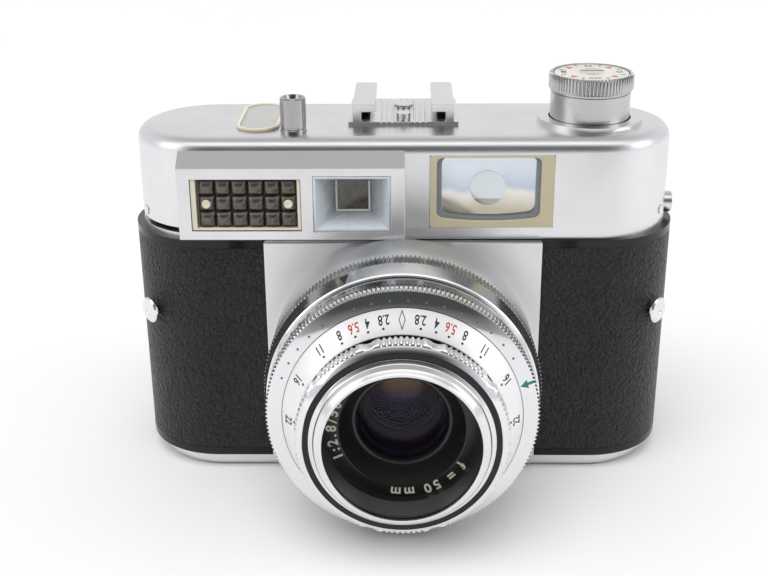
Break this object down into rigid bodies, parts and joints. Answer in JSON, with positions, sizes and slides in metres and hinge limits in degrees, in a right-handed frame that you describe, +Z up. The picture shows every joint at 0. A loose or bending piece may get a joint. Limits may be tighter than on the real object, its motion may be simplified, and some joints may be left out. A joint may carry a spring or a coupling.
{
  "type": "film camera",
  "caption": "Compact 35 mm rangefinder camera: rounded leather-covered body, satin chrome top with light cell, windows, shoe and raised rewind knob, and a ringed leaf-shutter lens.",
  "frame": {"origin": "centre of the tripod socket's mouth in the middle of the base", "axes": "+X to the right seen from the front, the lens looks along -Y, +Z up through the top cover"},
  "size_m": [0.124, 0.0828, 0.0917],
  "materials": {
    "black_enamel": "glossy black enamel on a die casting",
    "leather": "black pebble grain",
    "satin_chrome": "satin chrome plating",
    "polished_chrome": "bright turned chrome",
    "scale_white": "satin white with engraved numerals",
    "black_plastic": "flat black",
    "plate_steel": "ground steel",
    "blade_steel": "blackened spring steel",
    "ivory": "ivory",
    "cell": "brown honeycomb lens over the cell",
    "coated_glass": "violet coating",
    "clear_glass": "clear",
    "mirror": "front silvered",
    "needle_red": "red paint",
    "pointer_black": "black",
    "thread_brass": "bare brass"
  },
  "bodies": {
    "root": {"body_casting": "black_enamel", "front_leather_left": "leather", "front_leather_right": "leather", "lens_board": "satin_chrome", "light_tunnel": "black_plastic", "film_gate": "plate_steel", "tripod_bush": "plate_steel", "base_plate": "satin_chrome", "hinge_pins": "polished_chrome", "strap_studs": "polished_chrome", "top_cover": "satin_chrome", "cover_screws": "polished_chrome", "meter_housing": "satin_chrome", "selenium_cell": "cell", "rangefinder_well": "polished_chrome", "rangefinder_window": "clear_glass", "viewfinder_frame": "ivory", "viewfinder_lens": "clear_glass", "beam_splitter": "clear_glass", "eyepiece": "black_plastic", "eyepiece_lens": "clear_glass", "meter_movement": "plate_steel", "meter_window": "clear_glass", "accessory_shoe": "satin_chrome", "flash_socket": "polished_chrome", "lens_collar": "satin_chrome", "shutter_housing": "plate_steel", "depth_scale": "scale_white", "middle_lens": "coated_glass", "rear_lens": "coated_glass"},
    "counter": {"counter_dial": "ivory"},
    "flap": {"base_flap": "satin_chrome"},
    "key": {"latch_key": "satin_chrome"},
    "door": {"back_door": "black_enamel", "door_leather": "leather"},
    "pressure_plate": {"pressure_plate": "plate_steel"},
    "spool": {"takeup_spool": "black_plastic"},
    "sprocket": {"film_sprocket": "polished_chrome"},
    "mirror": {"rangefinder_mirror": "mirror"},
    "needle": {"meter_needle": "needle_red"},
    "pointer": {"follow_pointer": "pointer_black"},
    "release": {"release_button": "polished_chrome"},
    "lever": {"advance_lever": "polished_chrome"},
    "fork": {"rewind_fork": "polished_chrome"},
    "knob": {"rewind_knob": "polished_chrome"},
    "reminder": {"reminder_dial": "ivory"},
    "speed": {"speed_ring": "polished_chrome"},
    "aperture": {"aperture_ring": "polished_chrome"},
    "focus_slide": {"focus_thread": "thread_brass"},
    "front_cell": {"focus_ring": "polished_chrome", "front_bezel": "polished_chrome", "front_lens": "coated_glass"},
    "iris_blade_1": {"iris_blade_1": "blade_steel"},
    "iris_blade_2": {"iris_blade_2": "blade_steel"},
    "iris_blade_3": {"iris_blade_3": "blade_steel"},
    "iris_blade_4": {"iris_blade_4": "blade_steel"},
    "iris_blade_5": {"iris_blade_5": "blade_steel"},
    "shutter_blade_1": {"shutter_blade_1": "blade_steel"},
    "shutter_blade_2": {"shutter_blade_2": "blade_steel"},
    "shutter_blade_3": {"shutter_blade_3": "blade_steel"}
  },
  "joints": [
    {"name": "release_press", "type": "slide", "parent": "root", "child": "release", "axis": [0, 0, -1], "range_m": [0, 0.0025], "stiffness_N_per_m": 250},
    {"name": "advance_swing", "type": "hinge", "parent": "root", "child": "lever", "pos_m": [-0.043, 0, 0.0578], "axis": [0, 0, 1], "range_deg": [0, 135], "stiffness_Nm_per_rad": 0.01, "springref_deg": -17.19},
    {"name": "spool_spin", "type": "hinge", "parent": "root", "child": "spool", "pos_m": [-0.045, 0, 0.03], "axis": [0, 0, 1], "continuous": true},
    {"name": "sprocket_spin", "type": "hinge", "parent": "root", "child": "sprocket", "pos_m": [-0.0266, 0.004, 0.03], "axis": [0, 0, 1], "continuous": true},
    {"name": "counter_spin", "type": "hinge", "parent": "root", "child": "counter", "pos_m": [-0.02, 0, 0.002], "axis": [0, 0, 1], "continuous": true},
    {"name": "rewind_spin", "type": "hinge", "parent": "root", "child": "fork", "pos_m": [0.042, -0.001, 0.06], "axis": [0, 0, 1], "continuous": true},
    {"name": "rewind_lift", "type": "slide", "parent": "fork", "child": "knob", "axis": [0, 0, 1], "range_m": [-0.006, 0]},
    {"name": "reminder_turn", "type": "hinge", "parent": "knob", "child": "reminder", "pos_m": [0.042, -0.001, 0.09], "axis": [0, 0, 1], "continuous": true},
    {"name": "door_swing", "type": "hinge", "parent": "root", "child": "door", "pos_m": [-0.06055, 0.00815, 0.03], "axis": [0, 0, 1], "range_deg": [0, 110]},
    {"name": "plate_press", "type": "slide", "parent": "door", "child": "pressure_plate", "axis": [0, 1, 0], "range_m": [0, 0.0007], "stiffness_N_per_m": 400},
    {"name": "flap_swing", "type": "hinge", "parent": "root", "child": "flap", "pos_m": [0.0265, 0, 0.00125], "axis": [0, 1, 0], "range_deg": [0, 90]},
    {"name": "key_turn", "type": "hinge", "parent": "flap", "child": "key", "pos_m": [0.042, 0, 0.001], "axis": [0, 0, 1], "range_deg": [0, 90]},
    {"name": "speed_turn", "type": "hinge", "parent": "root", "child": "speed", "pos_m": [0, -0.03825, 0.03], "axis": [0, -1, 0], "range_deg": [-60, 50]},
    {"name": "aperture_turn", "type": "hinge", "parent": "root", "child": "aperture", "pos_m": [0, -0.03825, 0.03], "axis": [0, -1, 0], "range_deg": [0, 60]},
    {"name": "focus_travel", "type": "slide", "parent": "root", "child": "focus_slide", "axis": [0, -1, 0], "range_m": [0, 0.0016]},
    {"name": "focus_turn", "type": "hinge", "parent": "focus_slide", "child": "front_cell", "pos_m": [0, -0.03825, 0.03], "axis": [0, -1, 0], "range_deg": [0, 150]},
    {"name": "mirror_tilt", "type": "hinge", "parent": "root", "child": "mirror", "pos_m": [-0.0109, -0.008, 0.068], "axis": [0, 0, 1], "range_deg": [0, 3]},
    {"name": "needle_swing", "type": "hinge", "parent": "root", "child": "needle", "pos_m": [-0.0322, 0.009, 0.075], "axis": [0, 0, 1], "range_deg": [-13, 13], "stiffness_Nm_per_rad": 0.00002},
    {"name": "pointer_swing", "type": "hinge", "parent": "root", "child": "pointer", "pos_m": [-0.0322, 0.009, 0.076], "axis": [0, 0, 1], "range_deg": [0, 12]},
    {"name": "iris_1", "type": "hinge", "parent": "root", "child": "iris_blade_1", "pos_m": [0.0215, -0.02735, 0.03], "axis": [0, -1, 0], "range_deg": [0, 20]},
    {"name": "iris_2", "type": "hinge", "parent": "root", "child": "iris_blade_2", "pos_m": [0.00664, -0.02767, 0.05045], "axis": [0, -1, 0], "range_deg": [0, 20]},
    {"name": "iris_3", "type": "hinge", "parent": "root", "child": "iris_blade_3", "pos_m": [-0.01739, -0.02799, 0.04264], "axis": [0, -1, 0], "range_deg": [0, 20]},
    {"name": "iris_4", "type": "hinge", "parent": "root", "child": "iris_blade_4", "pos_m": [-0.01739, -0.02831, 0.01736], "axis": [0, -1, 0], "range_deg": [0, 20]},
    {"name": "iris_5", "type": "hinge", "parent": "root", "child": "iris_blade_5", "pos_m": [0.00664, -0.02863, 0.00955], "axis": [0, -1, 0], "range_deg": [0, 20]},
    {"name": "shutter_1", "type": "hinge", "parent": "root", "child": "shutter_blade_1", "pos_m": [0.0176, -0.02355, 0.0269], "axis": [0, -1, 0], "range_deg": [-40, 0]},
    {"name": "shutter_2", "type": "hinge", "parent": "root", "child": "shutter_blade_2", "pos_m": [-0.00612, -0.02387, 0.04679], "axis": [0, -1, 0], "range_deg": [-40, 0]},
    {"name": "shutter_3", "type": "hinge", "parent": "root", "child": "shutter_blade_3", "pos_m": [-0.01148, -0.02419, 0.01631], "axis": [0, -1, 0], "range_deg": [-40, 0]}
  ],
  "couplings": [
    {"joint": "counter_spin", "follows": "sprocket_spin", "ratio": -0.027778},
    {"joint": "focus_travel", "follows": "focus_turn", "m_per_rad": 0.00061115},
    {"joint": "mirror_tilt", "follows": "focus_turn", "ratio": 0.02},
    {"joint": "pointer_swing", "follows": "aperture_turn", "ratio": 0.2},
    {"joint": "iris_1", "follows": "aperture_turn", "ratio": 0.33333},
    {"joint": "iris_2", "follows": "aperture_turn", "ratio": 0.33333},
    {"joint": "iris_3", "follows": "aperture_turn", "ratio": 0.33333},
    {"joint": "iris_4", "follows": "aperture_turn", "ratio": 0.33333},
    {"joint": "iris_5", "follows": "aperture_turn", "ratio": 0.33333},
    {"joint": "shutter_2", "follows": "shutter_1", "ratio": 1},
    {"joint": "shutter_3", "follows": "shutter_1", "ratio": 1}
  ]
}
